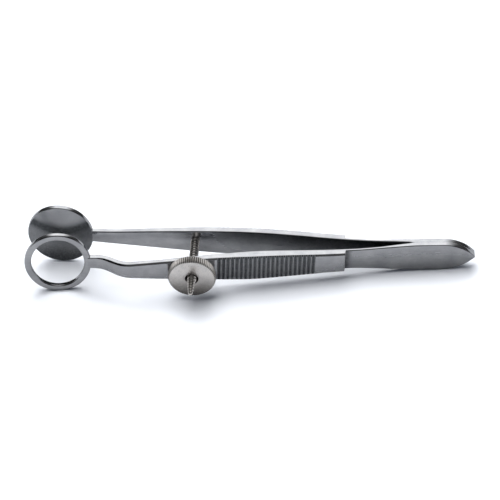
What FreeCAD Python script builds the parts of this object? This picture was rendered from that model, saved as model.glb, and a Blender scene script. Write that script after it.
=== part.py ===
import FreeCAD, Part
import math
import os

os.makedirs("parts", exist_ok=True)

# Chalazion forceps, in millimetres. X runs from the jaws to the butt, Y across the jaws and
# Z across the width of the arms. The origin is the middle of the open jaws. The ring arm is
# on the -Y side and the plate arm on the +Y side. Both arms are drawn with the jaws shut and
# are then swung open about the middle of their thin leaves.

# jaws
ring_hole_length = 12.0
ring_hole_height = 14.0
ring_band = 1.5
ring_thick = 1.15
plate_length = 15.0
plate_height = 16.3
plate_thick = 1.2
root_overlap = 0.75
jaw_clearance = 0.05
rim_bevel = 0.2

# shape of the arms seen from the side, as half widths and where they are reached
neck_start = 8.5
neck_half = 1.62
neck_flare = 0.055
grip_peak = 43.7
grip_half = 3.5
waist = 65.0
waist_half = 2.8
shoulder = 84.0
butt_half = 3.8
ogive_start = 87.0
butt_tip = 94.8

# thickness of the arms
neck_thick = 1.3
crank_thick = 1.35
seat_thick = 1.85
plate_screw_thick = 1.85
grip_thick = 2.3
step_thick = 1.9
leaf_thick = 0.7
butt_thick = 1.2
grip_bevel = 0.35

# plan of the arms: distance of the inner face from the plane where the jaws meet
weld_plane = 0.15
crank_foot = 10.0
crank_head = 15.1
crank_out = 3.2
crank_end = 23.0
bow_middle = 44.0
bow_out = 1.85
ring_waist_out = 1.0
ring_leaf_out = 0.87
plate_neck_end = 11.7
plate_bend = 56.0
plate_bend_out = 1.1
plate_leaf_out = 0.8
leaf_flex = 73.0
crotch = 80.5
butt_bend = 81.2
butt_round = 15.0
butt_lean = 0.65
crank_round = 2.6
bow_round = 45.0
knuckle_clearance = 0.03
open_angle = 3.27

# grip ribs, cut across the outer faces
rib_first = 36.3
rib_pitch = 1.02
rib_count = 22
rib_width = 0.86
rib_depth = 0.3

# clamping screw and nut
screw_at = 30.9
screw_dia = 2.1
screw_length = 17.4
screw_taper = 4.4
screw_tip_dia = 1.1
screw_dome = 0.3
rivet_dia = 2.9
rivet_depth = 0.5
slot_clearance = 0.17
seat_clearance = 0.06
seat_radius = 14.0
hub_dia = 5.0
hub_thick = 0.5
bush_dia = 3.6
bush_length = 1.0
thread_clearance = 0.05
turn_clearance = 0.03
wheel_dia = 10.8
wheel_thick = 2.1
wheel_bevel = 0.3
wheel_hole_dia = 3.0
knurl_teeth = 68
knurl_depth = 0.22

# how far cutting bodies reach past the part
beyond = 8.0


def vec(x, y, z=0.0):
    return FreeCAD.Vector(x, y, z)


def flat_wire(edges):
    return Part.Face(Part.Wire(edges))


def rounded_outline(corners):
    """Closed outline through (x, y, radius) corners, each with a tangent arc."""
    edges = []
    points = [vec(x, y) for x, y, _ in corners]
    count = len(points)
    starts = []
    for i, (_, _, radius) in enumerate(corners):
        here = points[i]
        back = points[i - 1].sub(here)
        ahead = points[(i + 1) % count].sub(here)
        half_turn = back.getAngle(ahead) / 2
        reach = radius / math.tan(half_turn)
        reach = min(reach, 0.45 * back.Length, 0.45 * ahead.Length)
        first = here.add(vec(back.x, back.y).normalize().multiply(reach))
        last = here.add(vec(ahead.x, ahead.y).normalize().multiply(reach))
        starts.append((first, here, last, reach, half_turn))
    for i, (first, here, last, reach, half_turn) in enumerate(starts):
        if reach > 1e-6:
            radius = reach * math.tan(half_turn)
            inward = first.add(last).multiply(0.5).sub(here).normalize()
            middle = here.add(inward.multiply(radius / math.sin(half_turn) - radius))
            edges.append(Part.Arc(first, middle, last).toShape())
        following = starts[(i + 1) % count][0]
        edges.append(Part.LineSegment(last, following).toShape())
    return flat_wire(edges)


def plan_prism(corners):
    """Body with this plan, tall enough for the widest part of an arm."""
    tall = butt_half + beyond
    prism = rounded_outline(corners).extrude(vec(0, 0, 2 * tall))
    prism.translate(vec(0, 0, -tall))
    return prism


def ease(x0, h0, x1, h1, flare=0.0):
    """Curve from one half width to the next, level at its end and rising by flare at its start."""
    curve = Part.BezierCurve()
    third = (x1 - x0) / 3
    lift = h0 + flare * third
    curve.setPoles([vec(x0, 0, h0), vec(x0 + third, 0, lift), vec(x1 - third, 0, h1), vec(x1, 0, h1)])
    return curve.toShape()


def side_prism():
    """Side view of an arm from the neck to the pointed butt, as deep as both arms."""
    reach = butt_tip - ogive_start
    arc_radius = (reach * reach + butt_half * butt_half) / (2 * butt_half)
    turn = math.asin(reach / arc_radius) / 2
    arc_middle = vec(
        ogive_start + arc_radius * math.sin(turn),
        0,
        butt_half - arc_radius * (1 - math.cos(turn)),
    )
    root_half = neck_half - neck_flare * neck_start
    upper = [
        Part.LineSegment(vec(0, 0, root_half), vec(neck_start, 0, neck_half)).toShape(),
        ease(neck_start, neck_half, grip_peak, grip_half, neck_flare),
        ease(grip_peak, grip_half, waist, waist_half),
        ease(waist, waist_half, shoulder, butt_half),
        Part.LineSegment(vec(shoulder, 0, butt_half), vec(ogive_start, 0, butt_half)).toShape(),
        Part.Arc(vec(ogive_start, 0, butt_half), arc_middle, vec(butt_tip, 0, 0)).toShape(),
    ]
    lower = [edge.mirror(vec(0, 0, 0), vec(0, 0, 1)) for edge in upper]
    close = Part.LineSegment(vec(0, 0, -root_half), vec(0, 0, root_half)).toShape()
    face = Part.Face(Part.Wire(Part.sortEdges(upper + lower + [close])[0]))
    prism = face.extrude(vec(0, 4 * beyond, 0))
    prism.translate(vec(0, -2 * beyond, 0))
    return prism


def oval(length, height, band):
    """Upright oval face at y = 0 made of four arcs, widened all round by the band."""
    short = min(length, height) / 2
    long = max(length, height) / 2
    if long - short < 1e-3:
        return flat_wire([Part.makeCircle(short + band, vec(0, 0), vec(0, -1))])
    small = (2 * short * short / long + short) / 3
    reach = long - small
    large = (reach * reach + short * short - small * small) / (2 * (short - small))
    drop = large - short
    meet = math.atan2(drop, reach)
    arcs = [
        (reach, 0, small + band, -meet, meet),
        (0, -drop, large + band, meet, math.pi - meet),
        (-reach, 0, small + band, math.pi - meet, math.pi + meet),
        (0, drop, large + band, math.pi + meet, 2 * math.pi - meet),
    ]
    return flat_wire([oval_arc(*arc, height > length) for arc in arcs])


def oval_arc(along, across, radius, low, high, upright):
    """Arc between two angles from the long axis of an oval, which is upright or lies flat."""
    points = []
    for angle in (low, (low + high) / 2, high):
        far = along + radius * math.cos(angle)
        side = across + radius * math.sin(angle)
        points.append(vec(side, 0, far) if upright else vec(far, 0, side))
    return Part.Arc(*points).toShape()


def ring_body():
    """Oval band with bevelled rims, its back on the plane where the jaws meet."""
    outer = oval(ring_hole_length, ring_hole_height, ring_band)
    hole = oval(ring_hole_length, ring_hole_height, 0)
    band = outer.extrude(vec(0, -ring_thick)).cut(hole.extrude(vec(0, -ring_thick)))
    rims = [edge for edge in band.Edges if not edge_runs_across(edge)]
    band = band.makeChamfer(rim_bevel, rims)
    band.translate(vec(0, -jaw_clearance))
    return band


def plate_body():
    """Solid oval plate with bevelled rims."""
    disc = oval(plate_length, plate_height, 0).extrude(vec(0, plate_thick))
    rims = [edge for edge in disc.Edges if not edge_runs_across(edge)]
    disc = disc.makeChamfer(rim_bevel, rims)
    disc.translate(vec(0, jaw_clearance))
    return disc


def edge_runs_across(edge):
    """True for the seam of an oval, which runs along Y."""
    return edge.BoundBox.YLength > 1e-3


def level_on(path, x):
    """Height at x on a path of (x, height, radius) corners."""
    for (x0, y0, _), (x1, y1, _) in zip(path, path[1:]):
        if x0 <= x <= x1:
            return y0 + (y1 - y0) * (x - x0) / (x1 - x0)
    return path[-1][1]


def ring_inner_path():
    start = ring_hole_length / 2 + ring_band - root_overlap
    return [
        (start, jaw_clearance, 0),
        (crank_foot, jaw_clearance, crank_round + neck_thick),
        (crank_head, crank_out, crank_round),
        (crank_end, crank_out, bow_round),
        (bow_middle, bow_out, bow_round),
        (waist, ring_waist_out, bow_round),
        (leaf_flex, ring_leaf_out, 0),
    ]


def ring_outer_path():
    start = ring_hole_length / 2 + ring_band - root_overlap
    crank_angle = math.atan2(crank_out - jaw_clearance, crank_head - crank_foot)
    shift = neck_thick * math.tan(crank_angle / 2)
    head_shift = crank_thick * math.tan(crank_angle / 2)
    seat_end = screw_at + wheel_dia / 2
    return [
        (start, jaw_clearance + neck_thick, 0),
        (crank_foot - shift, jaw_clearance + neck_thick, crank_round),
        (crank_head - head_shift, crank_out + crank_thick, crank_round + neck_thick),
        (seat_end, level_on(ring_inner_path(), seat_end) + seat_thick, bow_round),
        (bow_middle, bow_out + grip_thick, bow_round),
        (waist, ring_waist_out + step_thick, 0),
    ]


def plate_inner_path():
    start = plate_length / 2 - root_overlap
    return [
        (start, jaw_clearance, 0),
        (plate_neck_end, jaw_clearance, bow_round),
        (plate_bend, plate_bend_out, bow_round),
        (waist, plate_bend_out, bow_round),
        (leaf_flex, plate_leaf_out, 0),
    ]


def plate_outer_path():
    start = plate_length / 2 - root_overlap
    inner = plate_inner_path()
    return [
        (start, jaw_clearance + neck_thick, 0),
        (plate_neck_end, jaw_clearance + neck_thick, bow_round),
        (screw_at, level_on(inner, screw_at) + plate_screw_thick, bow_round),
        (plate_bend, plate_bend_out + step_thick, bow_round),
        (waist, plate_bend_out + step_thick, 0),
    ]


def front_outline(inner, outer):
    """Closed plan of the front of an arm, from the jaw to the flex line in the leaf."""
    foot = level_on(inner, waist) + leaf_thick
    leaf_end = inner[-1][1] + leaf_thick
    return inner + [(leaf_flex, leaf_end, 0), (waist, foot, 0)] + outer[::-1]


def mirrored(path):
    return [(x, -y, radius) for x, y, radius in path]


def bevel_outer_edges(body, outer, sign):
    """Bevels the long edges between the sides and the outer face of the grip."""
    chosen = []
    for edge in body.Edges:
        middle = edge.valueAt((edge.FirstParameter + edge.LastParameter) / 2)
        box = edge.BoundBox
        in_grip = neck_start + neck_half < box.XMin and box.XMax < waist + 1e-3
        on_outer = abs(sign * middle.y - level_on(outer, middle.x)) < grip_bevel
        if in_grip and on_outer and box.XLength > box.ZLength:
            chosen.append(edge)
    return body.makeChamfer(grip_bevel, chosen)


def ribs(outer, sign):
    """Round cutters for the grooves across the grip."""
    radius = (rib_width * rib_width / 4 + rib_depth * rib_depth) / (2 * rib_depth)
    tall = butt_half + beyond
    cutters = []
    for i in range(rib_count):
        x = rib_first + i * rib_pitch
        y = sign * (level_on(outer, x) + radius - rib_depth)
        cutters.append(Part.makeCylinder(radius, 2 * tall, vec(x, y, -tall), vec(0, 0, 1)))
    return Part.makeCompound(cutters)


def knuckle(x, y, radius):
    """Upright round bar on the flex line of a leaf."""
    tall = butt_half + beyond
    return Part.makeCylinder(radius, 2 * tall, vec(x, y, -tall), vec(0, 0, 1))


def flex_line(inner, sign):
    """Middle of the leaf, where the bending arm is taken to turn."""
    return vec(leaf_flex, sign * (inner[-1][1] + leaf_thick / 2))


def arm_front(inner, outer, sign):
    """Moving front of an arm with the jaws shut: neck, grip and the front half of the leaf."""
    corners = front_outline(inner, outer)
    if sign < 0:
        corners = mirrored(corners)
    blank = plan_prism(corners).common(side_prism())
    blank = bevel_outer_edges(blank, outer, sign)
    axis = flex_line(inner, sign)
    end = knuckle(axis.x, axis.y, leaf_thick / 2).common(side_prism())
    blank = blank.fuse(end).removeSplitter()
    return blank.cut(ribs(outer, sign))


def arm_tail(inner, sign):
    """Rear half of a leaf and its half of the welded butt."""
    leaf_in = sign * inner[-1][1]
    leaf_out = leaf_in + sign * leaf_thick
    butt_out = weld_plane + sign * butt_thick
    tail_end = butt_tip + 1
    corners = [
        (leaf_flex, leaf_in, 0),
        (crotch, weld_plane, 0),
        (tail_end, weld_plane + butt_lean, 0),
        (tail_end, butt_out + butt_lean, 0),
        (butt_bend, butt_out, butt_round),
        (leaf_flex, leaf_out, 0),
    ]
    tail = plan_prism(corners).common(side_prism())
    axis = flex_line(inner, sign)
    return tail.cut(knuckle(axis.x, axis.y, leaf_thick / 2 + knuckle_clearance))


def swing_open(body, inner, sign):
    """Turns a shut arm outward about its flex line."""
    body.rotate(flex_line(inner, sign), vec(0, 0, 1), -sign * open_angle)
    return body


def turned(point, centre, degrees):
    """The point turned about an upright axis through the centre."""
    return FreeCAD.Rotation(vec(0, 0, 1), degrees).multVec(point.sub(centre)).add(centre)


def opened(point, inner, sign):
    """Where a point of the shut arm lies once the arm is open."""
    return turned(point, flex_line(inner, sign), -sign * open_angle)


def shut(point, inner, sign):
    """Where a point of the open arm lies once the arm is shut."""
    return turned(point, flex_line(inner, sign), sign * open_angle)


def ring_seen_from_plate(point):
    """A point of the shut ring arm, once both arms are open, seen from the shut plate arm."""
    return shut(opened(point, ring_inner_path(), -1), plate_inner_path(), 1)


def plate_seen_from_ring(point):
    """A point of the shut plate arm, once both arms are open, seen from the shut ring arm."""
    return shut(opened(point, plate_inner_path(), 1), ring_inner_path(), -1)


def screw_direction():
    """Square to the inner face of the shut plate arm, towards the ring arm."""
    (x0, y0, _), (x1, y1, _) = plate_inner_path()[1:3]
    return vec(y1 - y0, x0 - x1).normalize()


def screw_foot():
    """Where the screw leaves the inner face of the shut plate arm."""
    return vec(screw_at, level_on(plate_inner_path(), screw_at))


def crossing(point, direction, start, end):
    """Distance from point along direction to the line through start and end."""
    along = end.sub(start)
    gap = start.sub(point)
    return (gap.x * along.y - gap.y * along.x) / (direction.x * along.y - direction.y * along.x)


def seat_line(path, is_open):
    """Straight stretch of a face of the ring arm at the nut, seen from the shut plate arm."""
    ends = [vec(x, -y) for x, y, _ in path[2:4]]
    return [ring_seen_from_plate(end) for end in ends] if is_open else ends


def seat_distance(path, is_open):
    """From the plate arm along the screw to a face of the ring arm."""
    return crossing(screw_foot(), screw_direction(), *seat_line(path, is_open))


def seat_tilt(is_open):
    """Angle between the nut and the outer face that it presses on."""
    start, end = seat_line(ring_outer_path(), is_open)
    across = vec(-screw_direction().y, screw_direction().x)
    return end.sub(start).getAngle(across)


def nut_distance(is_open):
    """From the plate arm along the screw to the domed seat of the nut."""
    lift = (seat_radius + seat_clearance) / math.cos(seat_tilt(is_open)) - seat_radius
    return seat_distance(ring_outer_path(), is_open) + lift


def revolved(profile):
    """Solid of revolution about Z from (radius, height) points."""
    points = [vec(radius, 0, height) for radius, height in profile]
    return Part.Face(Part.makePolygon(points + points[:1])).revolve(vec(0, 0), vec(0, 0, 1), 360)


def on_screw(body, distance):
    """Moves a body drawn about Z onto the screw of the open forceps."""
    spin = FreeCAD.Rotation(vec(0, 0, 1), screw_direction())
    spot = screw_foot().add(screw_direction() * distance)
    body.Placement = FreeCAD.Placement(spot, spin).multiply(body.Placement)
    return swing_open(body, plate_inner_path(), 1)


def arm_depth_at_screw():
    """Thickness of the plate arm where the screw is riveted in."""
    return level_on(plate_outer_path(), screw_at) - level_on(plate_inner_path(), screw_at)


def screw():
    """Plain bar at the thread's outer size, tapered to a domed tip and riveted into the arm."""
    depth = arm_depth_at_screw()
    radius = screw_dia / 2
    tip = screw_tip_dia / 2
    taper_start = screw_length - screw_dome - screw_taper
    dome_radius = (tip * tip + screw_dome * screw_dome) / (2 * screw_dome)
    bar = Part.makeCylinder(radius, taper_start + depth, vec(0, 0, -depth), vec(0, 0, 1))
    taper = Part.makeCone(radius, tip, screw_taper, vec(0, 0, taper_start), vec(0, 0, 1))
    ball = Part.makeSphere(dome_radius, vec(0, 0, screw_length - dome_radius))
    end = Part.makeCylinder(tip, screw_dome, vec(0, 0, screw_length - screw_dome), vec(0, 0, 1))
    head = Part.makeCone(rivet_dia / 2, radius, rivet_depth, vec(0, 0, -depth), vec(0, 0, 1))
    return on_screw(bar.fuse([taper, end.common(ball), head]).removeSplitter(), 0)


def screw_hole():
    """Hole and countersink for the riveted end of the screw, in the open plate arm."""
    outside = vec(0, 0, -arm_depth_at_screw())
    bar = Part.makeCylinder(screw_dia / 2, beyond, outside, vec(0, 0, 1))
    head = Part.makeCone(rivet_dia / 2, screw_dia / 2, rivet_depth, outside, vec(0, 0, 1))
    past = Part.makeCylinder(rivet_dia / 2, beyond, outside, vec(0, 0, -1))
    return on_screw(Part.makeCompound([bar, head, past]), 0)


def arm_slot():
    """Long hole in the shut ring arm, with room for the screw from open to shut."""
    foot = screw_foot()
    along = screw_direction()
    places = []
    for path in (ring_inner_path(), ring_outer_path()):
        places.append(foot.add(along * seat_distance(path, False)).x)
        places.append(plate_seen_from_ring(foot.add(along * seat_distance(path, True))).x)
    radius = screw_dia / 2 + slot_clearance
    deep = 2 * beyond
    ends = [
        Part.makeCylinder(radius, deep, vec(x, 0), vec(0, -1)) for x in (min(places), max(places))
    ]
    length = max(places) - min(places)
    middle = Part.makeBox(length, deep, 2 * radius, vec(min(places), -deep, -radius))
    return ends[0].fuse([middle, ends[1]])


def nut_bush():
    """Threaded core of the nut with the domed hub that presses on the ring arm."""
    bore = screw_dia / 2 + thread_clearance
    hub = hub_dia / 2
    sleeve = bush_dia / 2
    top = hub_thick + bush_length
    blank = revolved([
        (bore, 0), (hub, 0), (hub, hub_thick), (sleeve, hub_thick), (sleeve, top), (bore, top),
    ])
    dome = Part.makeSphere(seat_radius, vec(0, 0, seat_radius))
    return on_screw(blank.common(dome), nut_distance(True))


def knurled_blank():
    """Round bar with straight teeth all round."""
    crest = wheel_dia / 2
    root = crest - knurl_depth
    step = math.pi / knurl_teeth
    points = []
    for i in range(2 * knurl_teeth):
        radius = crest if i % 2 == 0 else root
        points.append(vec(radius * math.cos(i * step), radius * math.sin(i * step)))
    return Part.Face(Part.makePolygon(points + points[:1])).extrude(vec(0, 0, wheel_thick))


def thumb_wheel():
    """Knurled wheel of the nut, stepped inside to hold the bush behind its face."""
    crest = wheel_dia / 2
    hole = wheel_hole_dia / 2
    pocket = bush_dia / 2 + turn_clearance
    step = bush_length + turn_clearance
    blank = revolved([
        (hole, wheel_thick), (hole, step), (pocket, step), (pocket, 0),
        (crest - wheel_bevel, 0), (crest, wheel_bevel),
        (crest, wheel_thick - wheel_bevel), (crest - wheel_bevel, wheel_thick),
    ])
    wheel = knurled_blank().common(blank)
    return on_screw(wheel, nut_distance(True) + hub_thick + turn_clearance)


def ring_arm():
    """Front of the ring arm with its ring and the slot for the screw, swung open."""
    inner = ring_inner_path()
    body = arm_front(inner, ring_outer_path(), -1).fuse(ring_body()).removeSplitter()
    return swing_open(body.cut(arm_slot()), inner, -1)


def plate_arm():
    """Front of the plate arm with its plate and the hole for the screw, swung open."""
    inner = plate_inner_path()
    body = arm_front(inner, plate_outer_path(), 1).fuse(plate_body()).removeSplitter()
    return swing_open(body, inner, 1).cut(screw_hole())


nodes = {
    "ring_arm": ring_arm(),
    "ring_arm_tail": arm_tail(ring_inner_path(), -1),
    "plate_arm": plate_arm(),
    "plate_arm_tail": arm_tail(plate_inner_path(), 1),
    "screw": screw(),
    "nut_bush": nut_bush(),
    "thumb_wheel": thumb_wheel(),
}

for name, shape in nodes.items():
    shape.exportStep(f"parts/{name}.step")
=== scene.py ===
import math

import bmesh
import bpy
from mathutils import Matrix, Vector


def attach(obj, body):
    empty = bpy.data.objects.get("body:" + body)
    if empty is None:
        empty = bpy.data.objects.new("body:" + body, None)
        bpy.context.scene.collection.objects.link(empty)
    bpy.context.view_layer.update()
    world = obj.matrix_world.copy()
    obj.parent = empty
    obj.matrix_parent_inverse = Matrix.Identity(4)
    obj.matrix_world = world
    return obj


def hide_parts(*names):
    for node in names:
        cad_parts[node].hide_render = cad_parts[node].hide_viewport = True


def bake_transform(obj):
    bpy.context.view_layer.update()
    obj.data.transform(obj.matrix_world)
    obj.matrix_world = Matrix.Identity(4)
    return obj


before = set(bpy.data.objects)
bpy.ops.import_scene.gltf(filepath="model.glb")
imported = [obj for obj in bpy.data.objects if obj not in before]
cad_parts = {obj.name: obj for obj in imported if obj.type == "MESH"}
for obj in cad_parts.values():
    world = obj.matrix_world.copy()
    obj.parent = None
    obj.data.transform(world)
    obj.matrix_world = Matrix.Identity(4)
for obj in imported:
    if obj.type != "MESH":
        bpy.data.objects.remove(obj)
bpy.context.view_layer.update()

MM = 0.001

# Sizes of the construction, in millimetres: the jaws are drawn shut and swung open.
OPEN = math.radians(3.27)
FLEX_X = 73.0
FLEX_REACH = 3.0     # the swing grows from none to all of it over this much on each side
RING_AXIS = (FLEX_X, -1.22)
PLATE_AXIS = (FLEX_X, 1.15)
WELD_Y = 0.15
JAW = 0.05           # inner face of a shut jaw, from the middle plane
RING_HOLE = (12.0, 14.0)
RING_BAND = 1.5
RING_THICK = 1.15
PLATE_SIZE = (15.0, 16.3)
PLATE_THICK = 1.2

# Thickness of the arms, from the neck to the butt.
NECK = 1.3
CRANK = 1.35
SEAT = 1.85
GRIP = 2.3
STEP = 1.9
LEAF = 0.7
BUTT = 1.2

# Side view: where the arms bend, and how far the inner faces lie from the middle plane there.
RING_ROOT = 5.5
PLATE_ROOT = 6.75
CRANK_FOOT = 10.0
CRANK_HEAD, CRANK_OUT = 15.1, 3.2
BOW, BOW_OUT = 44.0, 1.85
PLATE_NECK = 11.7
PLATE_BEND, PLATE_OUTWARD = 56.0, 1.1
BUTT_LEAN = 0.65
INNER_BEND = 5.7
OUTER_BEND = INNER_BEND + NECK
LONG_BEND = 45

# Outline: half widths of the arms and where they change.
NECK_HALF = 1.62
NECK_FLARE = 0.055
TAPER_START = 8.5
GRIP_PEAK, GRIP_HALF = 43.7, 3.5
STEP_X, WAIST_HALF = 65.0, 2.8
SHOULDER, BUTT_HALF = 84.0, 3.8
OGIVE_START = 87.0
BUTT_TIP = 94.8

# Side bevels of the neck, the grip and the leaf, and the round of the inner edges.
EDGE_ROUND = 0.24
NECK_BEVEL = 0.15
GRIP_BEVEL = 0.35
LEAF_BEVEL = 0.16

RIB_FIRST = 36.3
RIB_PITCH = 1.02
RIB_COUNT = 22
RIB_WIDTH = 0.86
RIB_DEPTH = 0.3

SCREW_AT = 30.9
SCREW_RADIUS = 1.05
WHEEL = 5.4
TEETH = 68
TOOTH_DEPTH = 0.24

# Inner faces of the shut arms: x, height and radius of the bend.
RING_IN = [
    (RING_ROOT, JAW, 0),
    (CRANK_FOOT, JAW, OUTER_BEND),
    (CRANK_HEAD, CRANK_OUT, INNER_BEND),
    (23.0, CRANK_OUT, LONG_BEND),
    (BOW, BOW_OUT, LONG_BEND),
    (STEP_X, 1.0, LONG_BEND),
    (FLEX_X, 0.87, 0),
]
PLATE_IN = [
    (PLATE_ROOT, JAW, 0),
    (PLATE_NECK, JAW, LONG_BEND),
    (PLATE_BEND, PLATE_OUTWARD, LONG_BEND),
    (STEP_X, PLATE_OUTWARD, LONG_BEND),
    (FLEX_X, 0.8, 0),
]


def straight(path, x):
    """Height at x on the straight lines through a path."""
    for (x0, y0, _), (x1, y1, _) in zip(path, path[1:]):
        if x <= x1:
            return y0 + (y1 - y0) * (x - x0) / (x1 - x0)
    return path[-1][1]


def crank_outer():
    """Outer face of the ring arm: the inner face offset by the thickness of the strip."""
    half_turn = math.atan2(CRANK_OUT - JAW, CRANK_HEAD - CRANK_FOOT) / 2
    seat = SCREW_AT + WHEEL
    return [
        (RING_ROOT, JAW + NECK, 0),
        (CRANK_FOOT - NECK * math.tan(half_turn), JAW + NECK, INNER_BEND),
        (CRANK_HEAD - CRANK * math.tan(half_turn), CRANK_OUT + CRANK, OUTER_BEND),
        (seat, straight(RING_IN, seat) + SEAT, LONG_BEND),
        (BOW, BOW_OUT + GRIP, LONG_BEND),
        (STEP_X, straight(RING_IN, STEP_X) + STEP, 0),
    ]


RING_OUT = crank_outer()
PLATE_OUT = [
    (PLATE_ROOT, JAW + NECK, 0),
    (PLATE_NECK, JAW + NECK, LONG_BEND),
    (SCREW_AT, straight(PLATE_IN, SCREW_AT) + SEAT, LONG_BEND),
    (PLATE_BEND, PLATE_OUTWARD + STEP, LONG_BEND),
    (STEP_X, PLATE_OUTWARD + STEP, 0),
]


def curved(path, x):
    """Height at x on a path whose corners are rounded by arcs."""
    for i in range(1, len(path) - 1):
        (xa, ya, _), (xb, yb, radius), (xc, yc, _) = path[i - 1:i + 2]
        back = math.atan2(yb - ya, xb - xa)
        ahead = math.atan2(yc - yb, xc - xb)
        turn = ahead - back
        if abs(turn) < 1e-6 or radius <= 0:
            continue
        reach = abs(radius * math.tan(turn / 2))
        reach = min(reach, 0.45 * math.hypot(xb - xa, yb - ya), 0.45 * math.hypot(xc - xb, yc - yb))
        radius = reach / abs(math.tan(turn / 2))
        x1 = xb - reach * math.cos(back)
        x2 = xb + reach * math.cos(ahead)
        if x1 <= x <= x2:
            side = 1 if turn > 0 else -1
            y1 = yb - reach * math.sin(back)
            cx = x1 - side * radius * math.sin(back)
            cy = y1 + side * radius * math.cos(back)
            return cy - side * math.sqrt(max(radius * radius - (x - cx) ** 2, 0))
    return straight(path, x)


def blend_step(t):
    """Smooth step: 0 up to t = 0, 1 from t = 1."""
    t = min(max(t, 0.0), 1.0)
    return t * t * (3 - 2 * t)


def half_width(x):
    """Half of the arm's width, as in the construction."""
    if x >= OGIVE_START:
        length = BUTT_TIP - OGIVE_START
        radius = (length ** 2 + BUTT_HALF ** 2) / (2 * BUTT_HALF)
        return max(BUTT_HALF - radius + math.sqrt(max(radius ** 2 - (x - OGIVE_START) ** 2, 0)), 0.0)
    if x <= TAPER_START:
        return NECK_HALF - NECK_FLARE * (TAPER_START - x)
    if x <= GRIP_PEAK:
        length = GRIP_PEAK - TAPER_START
        t = (x - TAPER_START) / length
        lift = NECK_HALF + NECK_FLARE * length / 3
        return (NECK_HALF * (1 - t) ** 3 + 3 * lift * (1 - t) ** 2 * t
                + 3 * GRIP_HALF * (1 - t) * t * t + GRIP_HALF * t ** 3)
    for x0, h0, x1, h1 in ((GRIP_PEAK, GRIP_HALF, STEP_X, WAIST_HALF),
                           (STEP_X, WAIST_HALF, SHOULDER, BUTT_HALF)):
        if x <= x1:
            return h0 + (h1 - h0) * blend_step((x - x0) / (x1 - x0))
    return BUTT_HALF


def rib(x):
    """Depth of the round groove at x on the grip."""
    i = round((x - RIB_FIRST) / RIB_PITCH)
    if i < 0 or i >= RIB_COUNT:
        return 0.0
    radius = (RIB_WIDTH ** 2 / 4 + RIB_DEPTH ** 2) / (2 * RIB_DEPTH)
    off = x - RIB_FIRST - i * RIB_PITCH
    if abs(off) >= RIB_WIDTH / 2:
        return 0.0
    return math.sqrt(radius ** 2 - off ** 2) - (radius - RIB_DEPTH)


def tail_faces(x, lean, leaf_in):
    """Inner and outer face behind the flex line, from the plane of the weld outwards."""
    slope = (leaf_in / 7.5, (leaf_in + LEAF - BUTT) / 8.2)
    end = lean * BUTT_LEAN
    inner = curved([(FLEX_X - 4, leaf_in + slope[0] * 4, 0), (FLEX_X, leaf_in, 20), (80.5, 0.0, 6),
                    (BUTT_TIP + 1, end, 0)], x)
    outer = curved([(FLEX_X - 4, leaf_in + LEAF + slope[1] * 4, 0), (FLEX_X, leaf_in + LEAF, 20),
                    (81.2, BUTT, 15), (BUTT_TIP + 1, BUTT + end, 0)], x)
    return inner, outer


def stations(first):
    """Places along an arm, closer together where the shape changes."""
    places = [first + i * 0.25 for i in range(int((20 - first) / 0.25))]
    places += [20 + i * 0.5 for i in range(31)]
    start = RIB_FIRST - RIB_PITCH / 2
    steps = 12
    for i in range(RIB_COUNT):
        places += [start + (i + k / steps) * RIB_PITCH for k in range(steps)]
    end = start + RIB_COUNT * RIB_PITCH
    places += [end + i * (64.5 - end) / 8 for i in range(9)]
    places += [64.8, 64.9, 64.94, 64.97, 65.0, 65.03, 65.06, 65.1, 65.16, 65.25, 65.4, 65.7]
    places += [66 + i * 0.4 for i in range(50)]
    places += [86 + i * 0.25 for i in range(32)]
    places += [94.0, 94.2, 94.35, 94.5, 94.6, 94.68, 94.73, 94.77, 94.79]
    return sorted(set(round(p, 4) for p in places))


def grip_drop(x):
    """How far the outer face has dropped at the step, with a small round at top and foot."""
    return blend_step((x - 64.9) / 0.28)


def section(x, path_in, path_out, lean, leaf_in):
    """Points of half a cross-section, as distance from the inner face line and height.

    Four points round the inner edge come first, then three where the bevel leaves the side and
    three where it meets the outer face.
    """
    hw = half_width(x)
    if x <= STEP_X + 0.3:
        inner = curved(path_in, x)
        drop = grip_drop(x)
        full = curved(path_out, min(x, STEP_X)) - inner
        thick = full + (LEAF - full) * drop
        bevel = GRIP_BEVEL + (LEAF_BEVEL - GRIP_BEVEL) * drop
        if x < 12:
            bevel = NECK_BEVEL + (GRIP_BEVEL - NECK_BEVEL) * blend_step((x - 8) / 4)
    elif x <= FLEX_X:
        inner = curved(path_in, x)
        thick = LEAF
        bevel = LEAF_BEVEL
    else:
        low, high = tail_faces(x, lean, leaf_in)
        inner = low
        thick = high - low
        bevel = LEAF_BEVEL - 0.04 * blend_step((x - 80) / 4)
    bevel = min(bevel, 0.45 * hw)
    soft = EDGE_ROUND * (1 - blend_step((x - 79.5) / 1.5)) + 0.004
    soft = min(soft, 0.4 * hw)
    groove = rib(x)
    points = []
    for k in range(4):
        a = math.pi / 2 * k / 3
        points.append((soft - soft * math.cos(a), hw - soft + soft * math.sin(a)))
    shelf = min(0.35 * bevel, 0.09)
    points.append((thick - bevel - shelf, hw))
    points.append((thick - bevel - 0.3 * shelf, hw - 0.12 * shelf))
    points.append((thick - bevel + 0.3 * shelf, hw - 0.6 * shelf))
    lip = max(bevel - groove, 0.02)
    points.append((thick - groove - 0.3 * shelf, hw - lip + 0.3 * shelf))
    points.append((thick - groove - 0.05 * shelf, hw - lip - 0.25 * shelf))
    points.append((thick - groove, hw - lip - 0.8 * shelf))
    inset = 0.015 * (1 - blend_step((x - 7.6) / 0.8))
    return inner, [(min(max(u, inset), thick - inset), max(z, 0.0)) for u, z in points], groove


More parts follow.
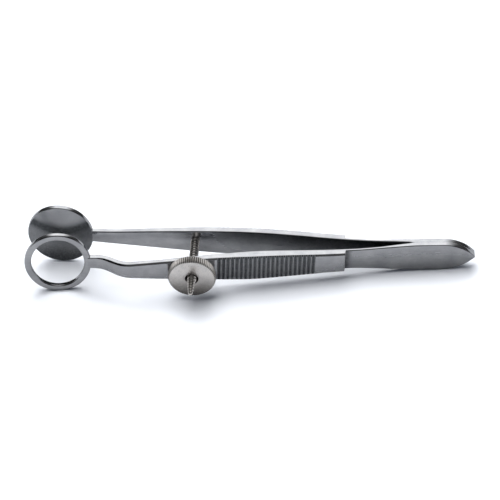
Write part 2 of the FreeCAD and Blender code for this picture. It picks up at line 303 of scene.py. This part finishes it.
def swing(x, y, axis, sign):
    """Opens a point of a shut arm; the leaf takes the turn over a short length."""
    turn = -sign * OPEN * blend_step((FLEX_X + FLEX_REACH - x) / (2 * FLEX_REACH))
    dx, dy = x - axis[0], y - axis[1]
    return (axis[0] + dx * math.cos(turn) - dy * math.sin(turn),
            axis[1] + dx * math.sin(turn) + dy * math.cos(turn))


def new_mesh(name, verts, faces, smooth=35, shade=None):
    """Mesh object in metres from millimetre points; shade is the share of painted shade at each point.
    """
    mesh = bpy.data.meshes.new(name)
    mesh.from_pydata([(x * MM, y * MM, z * MM) for x, y, z in verts], [], faces)
    # Point attribute that carries the painted shade into the material.
    painted_shade = mesh.attributes.new("painted_shade", "FLOAT", "POINT")
    painted_shade.data.foreach_set("value", shade or [0.0] * len(verts))
    mesh.validate()
    bm = bmesh.new()
    bm.from_mesh(mesh)
    bmesh.ops.remove_doubles(bm, verts=bm.verts, dist=1e-7)
    bmesh.ops.recalc_face_normals(bm, faces=bm.faces)
    bm.to_mesh(mesh)
    bm.free()
    for poly in mesh.polygons:
        poly.use_smooth = True
    mesh.set_sharp_from_angle(angle=math.radians(smooth))
    obj = bpy.data.objects.new(name, mesh)
    bpy.context.scene.collection.objects.link(obj)
    return obj


def loft(rings):
    """Faces between closed loops of equal length, with both ends filled."""
    verts = [point for ring in rings for point in ring]
    size = len(rings[0])
    faces = []
    for r in range(len(rings) - 1):
        for i in range(size):
            j = (i + 1) % size
            faces.append((r * size + i, r * size + j, (r + 1) * size + j, (r + 1) * size + i))
    faces.append(tuple(range(size)))
    faces.append(tuple(range(len(verts) - 1, len(verts) - size - 1, -1)))
    return verts, faces


def arm_painted_shade(x, i, last, groove, sign):
    """Share of painted shade at point i of the loop round an arm.

    It paints shade on the inner faces towards the leaf, dark lines along the upper edges for the
    shade on their rounding, shade in the grooves and in the corner at the foot of the step, and
    painted shade on the lower half of the outer face.
    """
    if i == 0:
        return 0.72 * blend_step((x - 32) / 12)
    if i == last:
        return 0.72 * blend_step((x - 46) / 12)
    if i < 3 or (sign > 0 and 4 < i < 7):
        return 0.8
    if 7 <= i <= last - 7:
        corner = 0.85 * (1 - blend_step((x - 65.3) / 1.6)) if x > 65.02 else 0.0
        lower = 0.12 + 0.2 * blend_step((x - 62) / 6) if i > last / 2 else 0.0
        return max((groove / RIB_DEPTH) ** 1.3, corner, lower)
    return 0.0


def arm(path_in, path_out, axis, sign):
    """One arm as a single strip from the jaw to the tip of the butt, already swung open."""
    leaf_in = path_in[-1][1] - sign * WELD_Y
    rings = []
    shade = []
    for x in stations(6.8):
        inner, half, groove = section(x, path_in, path_out, sign, leaf_in)
        loop = half + [(u, -z) for u, z in reversed(half)]
        ring = []
        for i, (u, z) in enumerate(loop):
            if x > FLEX_X:
                y = WELD_Y + sign * (inner + u)
            else:
                y = sign * (inner + u)
            px, py = swing(x, y, axis, sign)
            ring.append((px, py, z))
            shade.append(arm_painted_shade(x, i, len(loop) - 1, groove, sign))
        rings.append(ring)
    verts, faces = loft(rings)
    return verts, faces, shade


def oval_points(length, height, count):
    """Points and outward normals of the four-arc oval of the jaws."""
    short, long = length / 2, height / 2
    small = (2 * short * short / long + short) / 3
    reach = long - small
    large = (reach ** 2 + short ** 2 - small ** 2) / (2 * (short - small))
    drop = large - short
    meet = math.atan2(drop, reach)
    out = []
    for i in range(count):
        a = 2 * math.pi * i / count
        turn = (a + meet) % (2 * math.pi)
        if turn < 2 * meet:
            centre, radius = (reach, 0), small
        elif turn < math.pi:
            centre, radius = (0, -drop), large
        elif turn < math.pi + 2 * meet:
            centre, radius = (-reach, 0), small
        else:
            centre, radius = (0, drop), large
        out.append(((centre[1] + radius * math.sin(a), centre[0] + radius * math.cos(a)),
                    (math.sin(a), math.cos(a))))
    return out


def rounded_profile(low, high, near, far, radius, steps=5):
    """Rectangle with rounded corners, as (distance, depth) points in order."""
    points = []
    corners = ((high - radius, far - radius, 0), (low + radius, far - radius, 90),
               (low + radius, near + radius, 180), (high - radius, near + radius, 270))
    for cx, cy, start in corners:
        for k in range(steps + 1):
            a = math.radians(start + 90 * k / steps)
            points.append((cx + radius * math.cos(a), cy + radius * math.sin(a)))
    return points


def ring_loop():
    """The open oval ring with softly rounded rims, swung open."""
    outline = oval_points(*RING_HOLE, 180)
    profile = rounded_profile(0.0, RING_BAND, JAW, JAW + RING_THICK, 0.32)
    verts = []
    for (px, pz), (nx, nz) in outline:
        for out, depth in profile:
            x, y = swing(px + nx * out, -depth, RING_AXIS, -1)
            verts.append((x, y, pz + nz * out))
    size = len(profile)
    count = len(outline)
    faces = []
    for r in range(count):
        s = (r + 1) % count
        for i in range(size):
            j = (i + 1) % size
            faces.append((r * size + i, r * size + j, s * size + j, s * size + i))
    return verts, faces


def plate_disc():
    """The solid oval plate with rounded rims, swung open, its inner face in fine rings that carry
    painted shade.
    """
    outline = oval_points(*PLATE_SIZE, 180)
    back = JAW + PLATE_THICK
    near_round, far_round = 0.2, 0.26
    rim = [(-near_round - 0.02, JAW)]
    for k in range(7):
        a = math.radians(90 * k / 6)
        rim.append((near_round * (math.sin(a) - 1), JAW + near_round * (1 - math.cos(a))))
    for k in range(7):
        a = math.radians(90 * k / 6)
        rim.append((far_round * (math.cos(a) - 1), back + far_round * (math.sin(a) - 1)))
    rim.append((-far_round - 0.02, back))
    rings = []
    shade = []
    steps = 20
    for part in range(1, steps):
        ring = []
        for (px, pz), _ in outline:
            x, y = swing(px * part / steps, JAW, PLATE_AXIS, 1)
            ring.append((x, y, pz * part / steps))
            shade.append(painted_plate_shade(px * part / steps, pz * part / steps))
        rings.append(ring)
    for out, depth in rim:
        ring = []
        for (px, pz), (nx, nz) in outline:
            x, y = swing(px + nx * out, depth, PLATE_AXIS, 1)
            ring.append((x, y, pz + nz * out))
            shade.append(painted_plate_shade(px, pz) if depth < 0.06 else 0.0)
        rings.append(ring)
    verts, faces = loft(rings)
    return verts, faces, shade


def painted_plate_shade(x, z):
    """Painted shade on the plate: a crescent painted as the ring's reflection, and shade darkest at the
    lower rim.
    """
    off = z - 1.3 - 0.063 * x * x
    crescent = 0.62 * math.exp(-(off / 1.35) ** 2)
    return min(0.14 + 0.4 * blend_step((3 - off) / 3) + crescent + 0.4 * blend_step((-2 - z) / 5), 1.0)


def joined(name, parts, smooth=35):
    """Several closed bodies as one mesh object."""
    verts, faces, shade = [], [], []
    for part in parts:
        base = len(verts)
        verts += part[0]
        faces += [tuple(base + i for i in face) for face in part[1]]
        shade += part[2] if len(part) > 2 else [0.0] * len(part[0])
    return new_mesh(name, verts, faces, smooth, shade)


def cut(obj, tool):
    """Cuts the tool out of the object and removes the tool."""
    modifier = obj.modifiers.new("cut", "BOOLEAN")
    modifier.operation = "DIFFERENCE"
    modifier.solver = "EXACT"
    modifier.object = tool
    graph = bpy.context.evaluated_depsgraph_get()
    mesh = bpy.data.meshes.new_from_object(obj.evaluated_get(graph))
    obj.modifiers.clear()
    obj.data = mesh
    obj.data.set_sharp_from_angle(angle=math.radians(35))
    bpy.data.objects.remove(tool)


# Domed hub of the nut, just clear of its seat on the ring arm.
HUB = 0.5
DOME = 14.0
SEAT_GAP = 0.06


def screw_line():
    """Foot of the screw on the open plate arm, and its direction, square to that arm's face."""
    (x0, y0, _), (x1, y1, _) = PLATE_IN[1:3]
    slope = math.atan2(y1 - y0, x1 - x0) - OPEN
    x, y = swing(SCREW_AT, straight(PLATE_IN, SCREW_AT), PLATE_AXIS, 1)
    return Vector((x, y, 0)), Vector((math.sin(slope), -math.cos(slope), 0))


FOOT, ALONG = screw_line()
SIDE = Vector((-ALONG.y, ALONG.x, 0))
UP = Vector((0, 0, 1))


def nut_distance():
    """Distance along the screw from its foot to the seat of the nut on the open ring arm."""
    start, end = [Vector((*swing(x, -y, RING_AXIS, -1), 0)) for x, y, _ in RING_OUT[2:4]]
    face = end - start
    gap = start - FOOT
    reach = (gap.x * face.y - gap.y * face.x) / (ALONG.x * face.y - ALONG.y * face.x)
    return reach + (DOME + SEAT_GAP) / math.cos(face.angle(SIDE)) - DOME


NUT_AT = nut_distance()


def at_screw(radius, angle, distance):
    """Point about the screw axis, at a distance from the foot of the screw."""
    spot = FOOT + ALONG * distance + SIDE * (radius * math.cos(angle)) + UP * (radius * math.sin(angle))
    return tuple(spot)


def lathe(profile, count, teeth=None):
    """Closed ring turned about the screw axis from (radius, distance, tooth share) points."""
    verts = []
    for r in range(count):
        a = 2 * math.pi * r / count
        for radius, distance, share in profile:
            dip = TOOTH_DEPTH * teeth(a) * share if teeth else 0.0
            verts.append(at_screw(radius - dip, a, distance))
    size = len(profile)
    faces = []
    for r in range(count):
        s = (r + 1) % count
        for i in range(size):
            j = (i + 1) % size
            faces.append((r * size + i, r * size + j, s * size + j, s * size + i))
    return verts, faces


def thread():
    """Screw with a real coarse thread, a plain foot at the arm and a tapered, domed tip; painted shade
    in the roots of the thread.
    """
    crest, root, pitch = SCREW_RADIUS, 0.74, 0.8
    length, dome, taper, tip = 17.4, 0.3, 4.4, 0.55
    taper_start = length - dome - taper
    around = 48
    rows = [0.0, 0.05] + [0.1 + i * pitch / 16 for i in range(int((length - dome - 0.1) / (pitch / 16)))]
    rings = []
    shade = []
    for s in rows:
        ring = []
        for i in range(around):
            a = 2 * math.pi * i / around
            phase = (s / pitch - a / (2 * math.pi)) % 1.0
            wave = abs(2 * phase - 1)
            tooth = min(max((wave - 0.12) / 0.72, 0.0), 1.0)
            outer = crest - (crest - tip) * max(s - taper_start, 0.0) / taper
            depth = (crest - root) * (1 - 0.45 * max(s - taper_start, 0.0) / taper)
            radius = outer - depth * (1 - tooth)
            if s < 0.1:
                radius = crest - 0.02
                tooth = 1.0
            ring.append(at_screw(radius, a, s))
            # Painted shade in the roots of the thread, half as dark on the taper.
            shade.append((1 - tooth) * (1.0 if s < taper_start - 0.5 else 0.5))
        rings.append(ring)
    last = rows[-1]
    for k in range(1, 7):
        t = k / 6
        s = last + (length - 0.003 - last) * math.sin(t * math.pi / 2)
        radius = 0.5 * math.cos(t * math.pi / 2) + 0.004
        rings.append([at_screw(radius, 2 * math.pi * i / around, s) for i in range(around)])
        shade += [0.0] * around
    verts, faces = loft(rings)
    return verts, faces, shade


def rivet():
    """Countersunk end of the screw in the plate arm, its whole head just clear of the face."""
    rings = []
    for radius, s in ((0.02, -SEAT - 0.05), (1.38, -SEAT - 0.05), (1.44, -SEAT - 0.01),
                      (SCREW_RADIUS, -SEAT + 0.5), (SCREW_RADIUS, 0.02), (0.02, 0.02)):
        rings.append([at_screw(radius, 2 * math.pi * i / 48, s) for i in range(48)])
    return loft(rings)


def knurl(angle):
    """Share of the tooth depth below the crest of the straight teeth."""
    phase = (angle * TEETH / (2 * math.pi)) % 1.0
    return min(1.0, max(0.0, (abs(2 * phase - 1) - 0.12) * 1.25))


def wheel():
    """Knurled wheel with bevelled rims and a deep hole for the screw; painted shade darkens it towards
    its foot, in its hole and between its teeth.
    """
    back = NUT_AT + HUB + 0.03
    front = back + 2.1
    hole, socket = 1.5, 1.83
    shelf = back + 1.03
    profile = [
        (hole, shelf, 0), (socket, shelf, 0), (socket, back + 0.05, 0), (1.88, back, 0),
        (4.92, back, 0), (5.1, back + 0.05, 0), (WHEEL - 0.06, back + 0.26, 0.75),
        (WHEEL, back + 0.34, 1), (WHEEL, front - 0.36, 1), (WHEEL - 0.05, front - 0.27, 0.9),
        (5.15, front - 0.05, 0.45), (4.95, front, 0.1), (4.1, front, 0), (3.2, front, 0),
        (2.4, front, 0), (1.62, front, 0), (1.54, front - 0.04, 0), (hole, front - 0.12, 0),
    ]
    verts, faces = lathe(profile, TEETH * 10, knurl)
    shade = []
    for r in range(TEETH * 10):
        a = 2 * math.pi * r / (TEETH * 10)
        for radius, distance, share in profile:
            # Painted shade: black in the hole, dark between the teeth, and darker towards the lower
            # side.
            inside = distance == shelf or radius == hole
            painted_share = 0.85 * blend_step((2.0 - radius * math.sin(a)) / 7)
            shade.append(1.0 if inside else max(knurl(a) * share, painted_share))
    return verts, faces, shade


def bush():
    """Threaded core of the nut with the domed hub."""
    end = NUT_AT + HUB + 1.0
    seat = [(r, NUT_AT + DOME - math.sqrt(DOME ** 2 - r ** 2), 0) for r in (1.15, 1.6, 2.0, 2.3, 2.44)]
    profile = seat + [
        (2.5, NUT_AT + 0.29, 0), (2.5, NUT_AT + HUB - 0.05, 0), (2.45, NUT_AT + HUB, 0),
        (1.8, NUT_AT + HUB, 0), (1.8, end - 0.05, 0), (1.75, end, 0),
        (1.2, end, 0), (1.12, end - 0.1, 0),
    ]
    verts, faces = lathe(profile, 96)
    # Painted shade, black, on the end of the core deep in the hole of the wheel.
    shade = [1.0 if distance >= end - 0.1 else 0.0 for _ in range(96) for _, distance, _ in profile]
    return verts, faces, shade


def slot_tool():
    """Cutter for the long hole in the shut ring arm, with room for the screw as the arms swing."""
    low, high = 30.37, 31.01
    radius = SCREW_RADIUS + 0.17
    outline = []
    for k in range(17):
        a = math.radians(-90 + 180 * k / 16)
        outline.append((high + radius * math.cos(a), radius * math.sin(a)))
    for k in range(17):
        a = math.radians(90 + 180 * k / 16)
        outline.append((low + radius * math.cos(a), radius * math.sin(a)))
    rings = []
    for y in (-1.0, -6.5):
        ring = []
        for x, z in outline:
            px, py = swing(x, y, RING_AXIS, -1)
            ring.append((px, py, z))
        rings.append(ring)
    verts, faces = loft(rings)
    return new_mesh("slot_tool", verts, faces)


def link(tree, a, b):
    tree.links.new(a, b)


def math_node(tree, operation, a, b, c=None):
    """Math node whose inputs are sockets or numbers; gives its output."""
    node = tree.nodes.new("ShaderNodeMath")
    node.operation = operation
    for i, value in enumerate((a, b, c)):
        if value is None:
            continue
        if isinstance(value, (int, float)):
            node.inputs[i].default_value = value
        else:
            link(tree, value, node.inputs[i])
    return node.outputs["Value"]


def noise(tree, vector, scale, detail, rough=0.5):
    node = tree.nodes.new("ShaderNodeTexNoise")
    node.inputs["Scale"].default_value = scale
    node.inputs["Detail"].default_value = detail
    node.inputs["Roughness"].default_value = rough
    link(tree, vector, node.inputs["Vector"])
    return node.outputs["Fac"]


def steel(name, tint, dark, rough, grain, brushed, streak):
    """Satin stainless steel: brushed grain, cloudy stains, fine pits, and painted shade from the point
    attribute.

    The jaws, in front of the neck, are polished more finely than the rest. Tint is the clean colour
    and dark the colour of the painted shade, brushed the scale of the streaks along each axis, and
    streak their share against the clouds.
    """
    mat = bpy.data.materials.new(name)
    mat.use_nodes = True
    tree = mat.node_tree
    nodes = tree.nodes
    shader = nodes["Principled BSDF"]
    shader.inputs["Metallic"].default_value = 1.0
    coords = nodes.new("ShaderNodeTexCoord").outputs["Object"]
    stretch = nodes.new("ShaderNodeMapping")
    stretch.inputs["Scale"].default_value = brushed
    link(tree, coords, stretch.inputs["Vector"])
    streaks = noise(tree, stretch.outputs["Vector"], 1.0, 6.0, 0.65)
    clouds = noise(tree, coords, 260.0, 5.0, 0.6)
    specks = noise(tree, coords, 2200.0, 3.0)
    fac = math_node(tree, "MULTIPLY_ADD", clouds, 1.0 - streak,
                    math_node(tree, "MULTIPLY", streaks, streak))
    tone = nodes.new("ShaderNodeValToRGB")
    tone.color_ramp.elements[0].position = 0.35
    tone.color_ramp.elements[0].color = (tint[0] * 0.72, tint[1] * 0.73, tint[2] * 0.75, 1)
    tone.color_ramp.elements[1].position = 0.65
    tone.color_ramp.elements[1].color = (tint[0], tint[1], tint[2], 1)
    link(tree, fac, tone.inputs["Fac"])
    # Painted shade: the point attribute, broken up by the specks, mixes the colour towards the dark
    # colour and adds a little roughness.
    painted_shade = nodes.new("ShaderNodeAttribute")
    painted_shade.attribute_name = "painted_shade"
    painted_share = math_node(tree, "MULTIPLY", painted_shade.outputs["Fac"],
                     math_node(tree, "MULTIPLY_ADD", specks, 0.5, 0.7))
    cover = nodes.new("ShaderNodeMix")
    cover.data_type = "RGBA"
    cover.clamp_factor = True
    link(tree, painted_share, cover.inputs[0])
    link(tree, tone.outputs["Color"], cover.inputs[6])
    cover.inputs[7].default_value = (dark[0], dark[1], dark[2], 1)
    link(tree, cover.outputs[2], shader.inputs["Base Color"])
    gloss = math_node(tree, "MULTIPLY_ADD", streaks, rough * 0.9, rough * 0.55)
    place = nodes.new("ShaderNodeSeparateXYZ")
    link(tree, coords, place.inputs["Vector"])
    jaw = nodes.new("ShaderNodeMapRange")
    jaw.inputs["From Min"].default_value = 0.0072
    jaw.inputs["From Max"].default_value = 0.0100
    jaw.inputs["To Min"].default_value = 0.6
    jaw.inputs["To Max"].default_value = 1.0
    link(tree, place.outputs["X"], jaw.inputs["Value"])
    gloss = math_node(tree, "MULTIPLY_ADD", gloss, jaw.outputs["Result"],
                      math_node(tree, "MINIMUM", painted_shade.outputs["Fac"], 0.14))
    link(tree, gloss, shader.inputs["Roughness"])
    bump = nodes.new("ShaderNodeBump")
    bump.inputs["Strength"].default_value = grain
    bump.inputs["Distance"].default_value = 0.00002
    relief = math_node(tree, "MULTIPLY_ADD", specks, 0.6, streaks)
    link(tree, math_node(tree, "MULTIPLY", relief, jaw.outputs["Result"]), bump.inputs["Height"])
    link(tree, bump.outputs["Normal"], shader.inputs["Normal"])
    return mat


arm_steel = steel("arm_steel", (0.52, 0.525, 0.54), (0.07, 0.075, 0.08), 0.16, 0.05,
                  (250.0, 2500.0, 2500.0), 0.3)
screw_steel = steel("screw_steel", (0.90, 0.86, 0.81), (0.14, 0.12, 0.10), 0.16, 0.1,
                    (1500.0, 1500.0, 1500.0), 0.5)
nut_steel = steel("nut_steel", (0.98, 0.94, 0.90), (0.07, 0.06, 0.05), 0.31, 1.0,
                  (3200.0, 300.0, 3200.0), 0.5)

ring_side = joined("ring_arm_skin", [arm(RING_IN, RING_OUT, RING_AXIS, -1), ring_loop()])
cut(ring_side, slot_tool())
plate_side = joined("plate_arm_skin", [arm(PLATE_IN, PLATE_OUT, PLATE_AXIS, 1), plate_disc()])
screw_mesh = joined("screw_thread", [thread(), rivet()], 50)
wheel_mesh = joined("knurled_wheel", [wheel()], 40)
bush_mesh = joined("nut_core", [bush()], 40)

for piece, material in ((ring_side, arm_steel), (plate_side, arm_steel), (screw_mesh, screw_steel),
                        (wheel_mesh, nut_steel), (bush_mesh, nut_steel)):
    piece.data.materials.clear()
    piece.data.materials.append(material)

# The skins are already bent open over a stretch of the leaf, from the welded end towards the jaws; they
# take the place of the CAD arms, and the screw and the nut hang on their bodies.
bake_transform(ring_side)
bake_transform(plate_side)
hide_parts("ring_arm", "ring_arm_tail")
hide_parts("plate_arm", "plate_arm_tail")
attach(screw_mesh, "plate_side")
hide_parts("screw")
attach(wheel_mesh, "nut_wheel")
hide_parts("thumb_wheel")
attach(bush_mesh, "nut_core")
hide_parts("nut_bush")

# The forceps lie on the lower rim of the jaws and on the lower edge of the butt, so the table
# is tilted in this frame.
TILT = math.atan(0.0539)
table_frame = Matrix.Translation((0.00006, 0.0, -0.00851)) @ Matrix.Rotation(-TILT, 4, "Y")


def on_table(x, y, z):
    """A point given along, across and above the table, in millimetres."""
    return table_frame @ Vector((x * MM, y * MM, z * MM))


def floor_sheet():
    """Pale floor; duller in mirrored views, and plain white to the camera away from the object."""
    size = 3000.0
    mesh = bpy.data.meshes.new("floor")
    corners = [on_table(-size, -size, 0), on_table(size, -size, 0), on_table(size, size, 0),
               on_table(-size, size, 0)]
    mesh.from_pydata([tuple(c) for c in corners], [], [(0, 1, 2, 3)])
    obj = bpy.data.objects.new("floor", mesh)
    bpy.context.scene.collection.objects.link(obj)
    mat = bpy.data.materials.new("floor_paper")
    mat.use_nodes = True
    tree = mat.node_tree
    nodes = tree.nodes
    shader = nodes["Principled BSDF"]
    shader.inputs["Base Color"].default_value = (0.86, 0.88, 0.92, 1)
    shader.inputs["Roughness"].default_value = 0.9
    shader.inputs["Specular IOR Level"].default_value = 0.1
    dull = nodes.new("ShaderNodeBsdfDiffuse")
    dull.inputs["Color"].default_value = (0.44, 0.445, 0.455, 1)
    path = nodes.new("ShaderNodeLightPath")
    mix = nodes.new("ShaderNodeMixShader")
    out = nodes["Material Output"]
    link(tree, path.outputs["Is Glossy Ray"], mix.inputs["Fac"])
    link(tree, shader.outputs["BSDF"], mix.inputs[1])
    link(tree, dull.outputs["BSDF"], mix.inputs[2])
    white = nodes.new("ShaderNodeEmission")
    white.inputs["Color"].default_value = (1, 1, 1, 1)
    white.inputs["Strength"].default_value = 1.0
    away = nodes.new("ShaderNodeVectorMath")
    away.operation = "DISTANCE"
    link(tree, nodes.new("ShaderNodeTexCoord").outputs["Object"], away.inputs[0])
    away.inputs[1].default_value = (0.044, 0.0, 0.0)
    far = nodes.new("ShaderNodeMapRange")
    far.interpolation_type = "SMOOTHSTEP"
    far.inputs["From Min"].default_value = 0.10
    far.inputs["From Max"].default_value = 0.30
    link(tree, away.outputs["Value"], far.inputs["Value"])
    share = math_node(tree, "MULTIPLY", far.outputs["Result"], path.outputs["Is Camera Ray"])
    fade = nodes.new("ShaderNodeMixShader")
    link(tree, share, fade.inputs["Fac"])
    link(tree, mix.outputs["Shader"], fade.inputs[1])
    link(tree, white.outputs["Emission"], fade.inputs[2])
    link(tree, fade.outputs["Shader"], out.inputs["Surface"])
    mesh.materials.append(mat)
    return obj


floor_sheet()


def aim(obj, place, target):
    """Puts a lamp at a place and turns it to the target."""
    forward = (target - place).normalized()
    obj.location = place
    obj.rotation_euler = forward.to_track_quat("-Z", "Y").to_euler()


def softbox(name, place, target, width, height, watts, colour=(1, 1, 1)):
    """Rectangular lamp aimed at the target."""
    light = bpy.data.lights.new(name, "AREA")
    light.shape = "RECTANGLE"
    light.size = width
    light.size_y = height
    light.energy = watts
    light.color = colour
    obj = bpy.data.objects.new(name, light)
    bpy.context.scene.collection.objects.link(obj)
    aim(obj, place, target)
    return obj


def blind_to_steel(obj):
    """Keeps a lamp to the floor: the steel mirrors the room that is set in the world."""
    obj.visible_glossy = False


middle = on_table(44, 3, 4)
blind_to_steel(softbox("overhead", on_table(-30, 90, 600), middle, 0.55, 0.42, 4.5))
blind_to_steel(softbox("behind", on_table(-60, 400, 480), middle, 0.6, 0.35, 3.3, (0.97, 0.98, 1.0)))


def ramp(tree, value, stops):
    """Colour ramp of grey levels from (position, level) pairs."""
    node = tree.nodes.new("ShaderNodeValToRGB")
    elements = node.color_ramp.elements
    while len(elements) < len(stops):
        elements.new(0.5)
    for element, (position, level) in zip(elements, stops):
        element.position = position
        element.color = (level, level, level, 1)
    link(tree, value, node.inputs["Fac"])
    return node.outputs["Color"]


def room():
    """White to the camera, a dim cool fill for the floor, and a studio for the steel to mirror.

    The studio has a bright wall behind, a dark room ahead and to the sides, and bright far ends.
    """
    world = bpy.data.worlds.new("room")
    world.use_nodes = True
    tree = world.node_tree
    nodes = tree.nodes
    fill = nodes["Background"]
    fill.inputs["Color"].default_value = (0.70, 0.80, 1.0, 1)
    fill.inputs["Strength"].default_value = 0.10
    axes = nodes.new("ShaderNodeSeparateXYZ")
    link(tree, nodes.new("ShaderNodeTexCoord").outputs["Generated"], axes.inputs["Vector"])
    wall_y, wall_z = 0.714, 0.70
    lift = math_node(tree, "MULTIPLY", axes.outputs["Z"], wall_z)
    back = math_node(tree, "MULTIPLY_ADD", axes.outputs["Y"], wall_y, lift)
    wall = ramp(tree, back, ((0.0, 0.13), (0.25, 0.12), (0.55, 0.24), (0.8, 0.95), (1.0, 1.7)))
    side = ramp(tree, math_node(tree, "ABSOLUTE", axes.outputs["X"], None),
                ((0.0, 1.0), (0.22, 1.0), (0.5, 0.09), (0.8, 0.09), (0.94, 2.6)))
    mirrored = nodes.new("ShaderNodeBackground")
    link(tree, wall, mirrored.inputs["Color"])
    link(tree, side, mirrored.inputs["Strength"])
    path = nodes.new("ShaderNodeLightPath")
    mix = nodes.new("ShaderNodeMixShader")
    link(tree, path.outputs["Is Glossy Ray"], mix.inputs["Fac"])
    link(tree, fill.outputs["Background"], mix.inputs[1])
    link(tree, mirrored.outputs["Background"], mix.inputs[2])
    plain = nodes.new("ShaderNodeBackground")
    plain.inputs["Color"].default_value = (1, 1, 1, 1)
    plain.inputs["Strength"].default_value = 1.0
    seen = nodes.new("ShaderNodeMixShader")
    link(tree, path.outputs["Is Camera Ray"], seen.inputs["Fac"])
    link(tree, mix.outputs["Shader"], seen.inputs[1])
    link(tree, plain.outputs["Background"], seen.inputs[2])
    link(tree, seen.outputs["Shader"], nodes["World Output"].inputs["Surface"])
    return world


scene = bpy.context.scene
scene.world = room()
scene.view_settings.view_transform = "Standard"

# Camera: long lens, looking down on the near arm, held a little askew.
ELEVATION = math.radians(43.13)
YAW = math.radians(-2.46)
ROLL = math.radians(-2.77)
DISTANCE = 0.500
LOOK_AT = (43.56, 7.01, 0)
camera_data = bpy.data.cameras.new("camera")
camera_data.sensor_width = 36.0
camera_data.lens = 155.1
camera_data.clip_start = 0.01
camera = bpy.data.objects.new("camera", camera_data)
scene.collection.objects.link(camera)
turn = table_frame.to_3x3()
flat = Vector((math.sin(YAW), math.cos(YAW), 0)) * math.cos(ELEVATION)
looking = turn @ (flat - Vector((0, 0, math.sin(ELEVATION))))
level = turn @ Vector((math.cos(YAW), -math.sin(YAW), 0))
upright = level.cross(looking)
right = level * math.cos(ROLL) + upright * math.sin(ROLL)
up = right.cross(looking)
rotation = Matrix((right, up, -looking)).transposed().to_4x4()
camera.matrix_world = Matrix.Translation(on_table(*LOOK_AT) - looking * DISTANCE) @ rotation
scene.camera = camera
